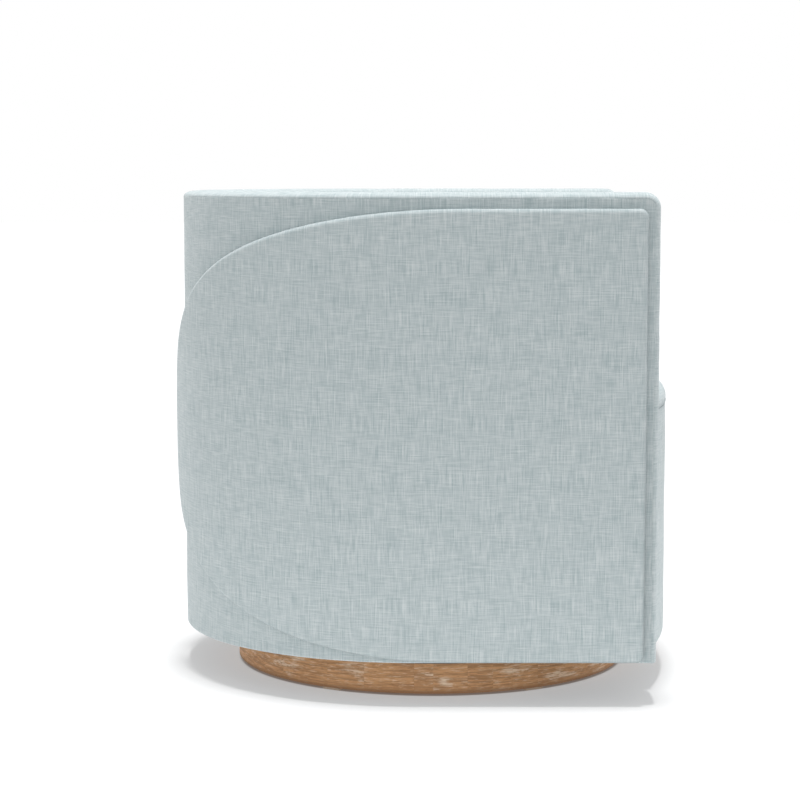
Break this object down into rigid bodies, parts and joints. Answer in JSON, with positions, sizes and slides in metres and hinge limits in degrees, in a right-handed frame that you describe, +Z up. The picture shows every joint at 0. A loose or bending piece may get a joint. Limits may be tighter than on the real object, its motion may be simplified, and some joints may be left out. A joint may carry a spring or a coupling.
{
  "type": "swivel barrel chair",
  "caption": "Upholstered barrel chair with a U-shaped wall, padded side overlays and a tight seat with a bowed front, turning on a ball bearing over a low round oak plinth.",
  "frame": {"origin": "on the floor, under the middle of the chair's width and depth", "axes": "+Z up, the chair's open front faces -Y, +X is the sitter's left"},
  "size_m": [0.7732, 0.7909, 0.7619],
  "materials": {
    "upholstery_fabric": "heathered blue-grey linen-look weave",
    "limed_oak": "limed, matt",
    "plywood": "raw birch plywood",
    "hardwood": "raw sawn hardwood",
    "hardboard": "raw bent hardboard",
    "foam": "open-cell foam",
    "webbing": "elastic webbing",
    "dust_cloth": "non-woven black cloth",
    "race_steel": "zinc-plated",
    "ball_steel": "polished",
    "cage_nylon": "natural nylon",
    "glide_plastic": "black, matt"
  },
  "bodies": {
    "base": {"plinth_ring": "limed_oak", "plinth_deck": "plywood", "deck_cleats": "hardwood", "floor_glides": "glide_plastic", "lower_race": "race_steel", "lower_race_bolts": "race_steel"},
    "bearing_cage": {"ball_cage": "cage_nylon", "bearing_balls": "ball_steel"},
    "chair": {"upper_race": "race_steel", "upper_race_bolts": "race_steel", "bottom_board": "plywood", "dust_cover": "dust_cloth", "back_posts": "hardwood", "arm_post_left": "hardwood", "arm_post_right": "hardwood", "seat_rail": "plywood", "top_rail": "plywood", "front_rail": "hardwood", "front_sill": "hardwood", "front_studs": "hardwood", "corner_blocks": "hardwood", "webbing_lengthwise": "webbing", "webbing_crosswise": "webbing", "outer_panel": "hardboard", "inner_panel": "hardboard", "front_board": "hardboard", "outer_cover": "upholstery_fabric", "inside_back_pad": "upholstery_fabric", "inside_arm_pad_left": "upholstery_fabric", "inside_arm_pad_right": "upholstery_fabric", "top_band": "upholstery_fabric", "arm_front_left": "upholstery_fabric", "arm_front_right": "upholstery_fabric", "overlay_board_left": "plywood", "overlay_board_right": "plywood", "overlay_pad_left": "upholstery_fabric", "overlay_pad_right": "upholstery_fabric", "seat_foam": "foam", "seat_pad": "upholstery_fabric", "front_panel": "upholstery_fabric"}
  },
  "joints": [
    {"name": "swivel", "type": "hinge", "parent": "base", "child": "chair", "pos_m": [0, -0.01713, 0.057], "axis": [0, 0, 1], "continuous": true},
    {"name": "cage_turn", "type": "hinge", "parent": "base", "child": "bearing_cage", "pos_m": [0, -0.01713, 0.057], "axis": [0, 0, 1], "continuous": true}
  ],
  "couplings": [
    {"joint": "cage_turn", "follows": "swivel", "ratio": 0.4921}
  ]
}
